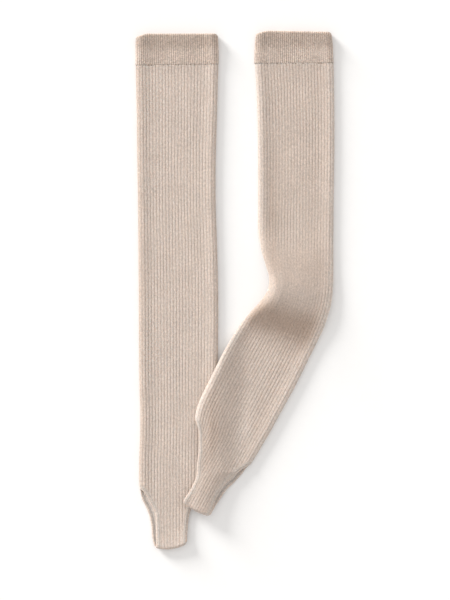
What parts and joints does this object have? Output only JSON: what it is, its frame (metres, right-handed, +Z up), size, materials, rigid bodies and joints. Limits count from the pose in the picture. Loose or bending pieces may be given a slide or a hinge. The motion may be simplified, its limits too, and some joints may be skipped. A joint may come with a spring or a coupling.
{
  "type": "pair of knee warmers",
  "caption": "Pair of long ribbed knit knee warmers with turned welts and stirrup foot straps, laid flat, one bent across the other.",
  "frame": {"origin": "middle of the box round the pair, on the surface it lies on", "axes": "+Y up the warmers from the foot straps to the welts, +X to the right seen from above, +Z up from the surface"},
  "size_m": [0.2896, 0.755, 0.0254],
  "materials": {
    "leg_knit": "soft 2x1 rib knit, brushed",
    "welt_knit": "soft 1x1 rib knit, brushed"
  },
  "bodies": {
    "root": {"leg_left": "leg_knit", "welt_left": "welt_knit", "leg_right": "leg_knit", "welt_right": "welt_knit"}
  },
  "joints": []
}
